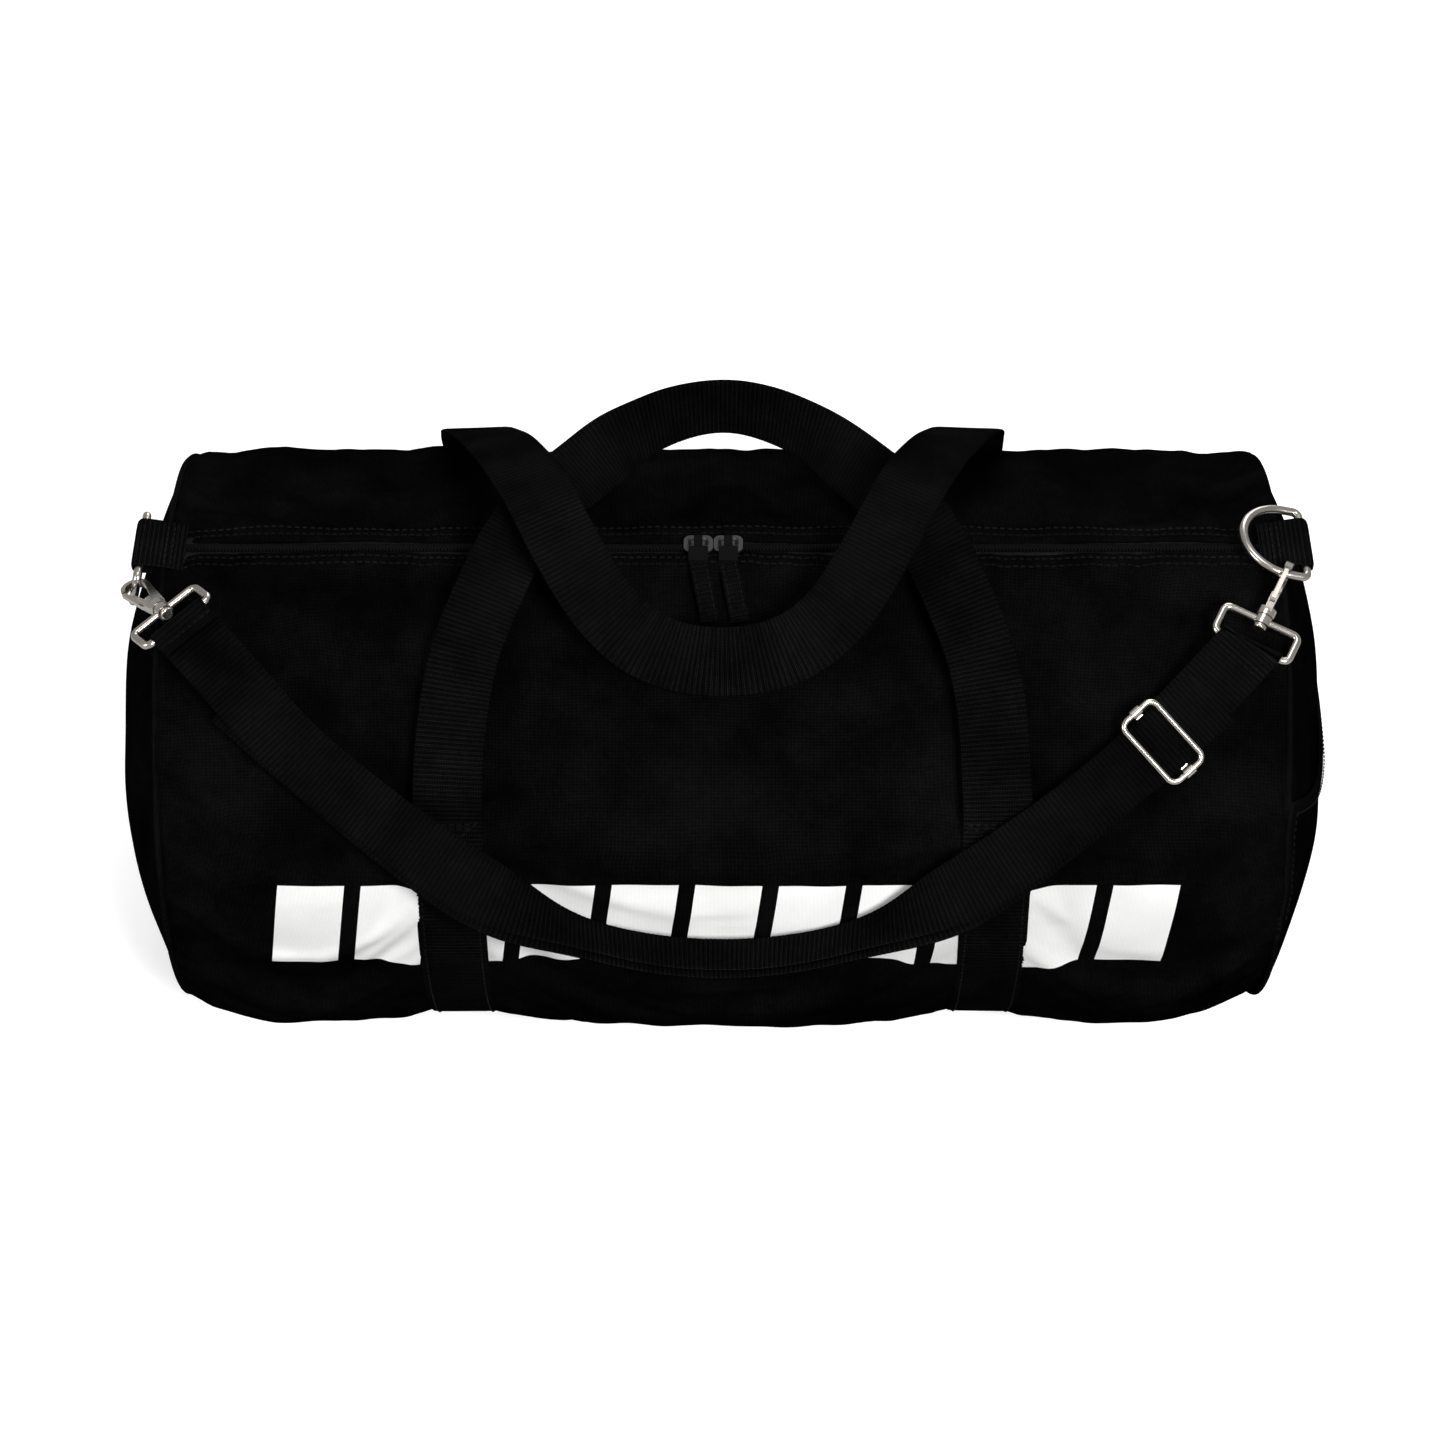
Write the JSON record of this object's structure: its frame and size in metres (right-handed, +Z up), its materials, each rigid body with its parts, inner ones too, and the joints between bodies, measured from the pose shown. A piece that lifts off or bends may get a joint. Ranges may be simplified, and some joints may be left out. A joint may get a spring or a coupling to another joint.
{
  "type": "duffel bag",
  "caption": "Soft barrel duffel bag with a top zip, two webbing carry handles, D-rings and a clip-on adjustable shoulder strap.",
  "frame": {"origin": "on the ground, under the middle of the bag's flat base", "axes": "+X along the bag's length, -Y towards the front where the shoulder strap hangs, +Z up"},
  "size_m": [0.5908, 0.3271, 0.289],
  "materials": {
    "canvas": "black polyester canvas, fine weave, soft sheen",
    "webbing": "black ribbed polypropylene webbing",
    "zip_tape": "black woven zip tape",
    "binding": "black bias binding",
    "board": "dark grey polypropylene sheet",
    "black_plastic": "black moulded nylon",
    "black_enamel": "black enamelled zinc",
    "nickel": "satin nickel plate, warm grey",
    "spring_steel": "bare spring steel"
  },
  "bodies": {
    "bag": {"front_panel": "canvas", "back_panel": "canvas", "bottom_panel": "canvas", "end_panel_left": "canvas", "end_panel_right": "canvas", "end_binding_left": "binding", "end_binding_right": "binding", "end_pocket": "canvas", "end_pocket_binding": "binding", "base_board": "board", "zipper_tape_front": "zip_tape", "zipper_tape_back": "zip_tape", "zipper_coil_front": "black_plastic", "zipper_coil_back": "black_plastic", "zipper_end_stops": "nickel", "strap_wrap_left": "webbing", "strap_wrap_right": "webbing", "ring_tab_left": "webbing", "ring_tab_right": "webbing", "strap_loop_left": "nickel", "strap_loop_right": "nickel"},
    "slider_left": {"slider_left": "black_enamel"},
    "pull_left": {"pull_block_left": "black_plastic", "pull_tape_left": "zip_tape"},
    "slider_right": {"slider_right": "black_enamel"},
    "pull_right": {"pull_block_right": "black_plastic", "pull_tape_right": "zip_tape"},
    "handle_front": {"handle_front": "webbing"},
    "handle_back": {"handle_back": "webbing"},
    "shoulder_strap": {"shoulder_strap": "webbing", "strap_return": "webbing"},
    "d_ring_left": {"d_ring_left": "nickel"},
    "hook_left": {"hook_body_left": "nickel", "gate_pin_left": "nickel", "gate_spring_left": "spring_steel", "swivel_rivet_left": "nickel"},
    "gate_left": {"hook_gate_left": "nickel"},
    "d_ring_right": {"d_ring_right": "nickel"},
    "hook_right": {"hook_body_right": "nickel", "gate_pin_right": "nickel", "gate_spring_right": "spring_steel", "swivel_rivet_right": "nickel"},
    "gate_right": {"hook_gate_right": "nickel"},
    "adjuster": {"adjuster_frame": "nickel"},
    "adjuster_bar": {"adjuster_bar": "nickel"}
  },
  "joints": [
    {"name": "zip_left", "type": "slide", "parent": "bag", "child": "slider_left", "axis": [-1, 0, 0], "range_m": [0, 0.198]},
    {"name": "pull_left_swing", "type": "hinge", "parent": "slider_left", "child": "pull_left", "pos_m": [-0.0113, -0.006, 0.25535], "axis": [-1, 0, 0], "range_deg": [0, 150]},
    {"name": "zip_right", "type": "slide", "parent": "bag", "child": "slider_right", "axis": [1, 0, 0], "range_m": [0, 0.198]},
    {"name": "pull_right_swing", "type": "hinge", "parent": "slider_right", "child": "pull_right", "pos_m": [0.0027, -0.006, 0.25535], "axis": [-1, 0, 0], "range_deg": [0, 150]},
    {"name": "handle_front_swing", "type": "hinge", "parent": "bag", "child": "handle_front", "pos_m": [0, -0.1225, 0.19527], "axis": [1, 0, 0], "range_deg": [0, 150], "deforming": ["handle_front"]},
    {"name": "handle_back_swing", "type": "hinge", "parent": "bag", "child": "handle_back", "pos_m": [0, 0.1225, 0.19527], "axis": [-1, 0, 0], "range_deg": [0, 180], "deforming": ["handle_back"]},
    {"name": "strap_lift", "type": "hinge", "parent": "bag", "child": "shoulder_strap", "pos_m": [-0.24751, -0.06135, 0.25789], "axis": [-0.9997, 0.0074, 0.0249], "range_deg": [0, 90], "deforming": ["shoulder_strap", "strap_return"]},
    {"name": "ring_left_tilt", "type": "hinge", "parent": "bag", "child": "d_ring_left", "pos_m": [-0.2701, -0.01, 0.2552], "axis": [0, 1, 0], "range_deg": [-4, 4]},
    {"name": "hook_left_swivel", "type": "hinge", "parent": "bag", "child": "hook_left", "pos_m": [-0.27204, -0.031, 0.24744], "axis": [-0.6071, 0.7514, -0.2587], "range_deg": [-15, 15]},
    {"name": "gate_left_press", "type": "hinge", "parent": "hook_left", "child": "gate_left", "pos_m": [-0.26549, -0.04483, 0.25142], "axis": [0.1626, -0.2013, -0.9659], "range_deg": [0, 9], "stiffness_Nm_per_rad": 0.002, "deforming": ["gate_spring_left"]},
    {"name": "ring_right_tilt", "type": "hinge", "parent": "bag", "child": "d_ring_right", "pos_m": [0.2701, -0.01, 0.2552], "axis": [0, 1, 0], "range_deg": [-4, 4]},
    {"name": "hook_right_swivel", "type": "hinge", "parent": "bag", "child": "hook_right", "pos_m": [0.25943, -0.031, 0.25786], "axis": [0.4504, 0.8408, 0.3003], "range_deg": [-15, 15]},
    {"name": "gate_right_press", "type": "hinge", "parent": "hook_right", "child": "gate_right", "pos_m": [0.25249, -0.04516, 0.25663], "axis": [-0.8928, 0.4242, 0.1515], "range_deg": [0, 9], "stiffness_Nm_per_rad": 0.002, "deforming": ["gate_spring_right"]},
    {"name": "adjuster_slide", "type": "slide", "parent": "shoulder_strap", "child": "adjuster", "axis": [0.7421, 0.5233, 0.4189], "range_m": [-0.01, 0.01], "deforming": ["strap_return", "shoulder_strap"]},
    {"name": "adjuster_bar_slide", "type": "slide", "parent": "adjuster", "child": "adjuster_bar", "axis": [0.7421, 0.5233, 0.4189], "range_m": [-0.003, 0.003]}
  ]
}
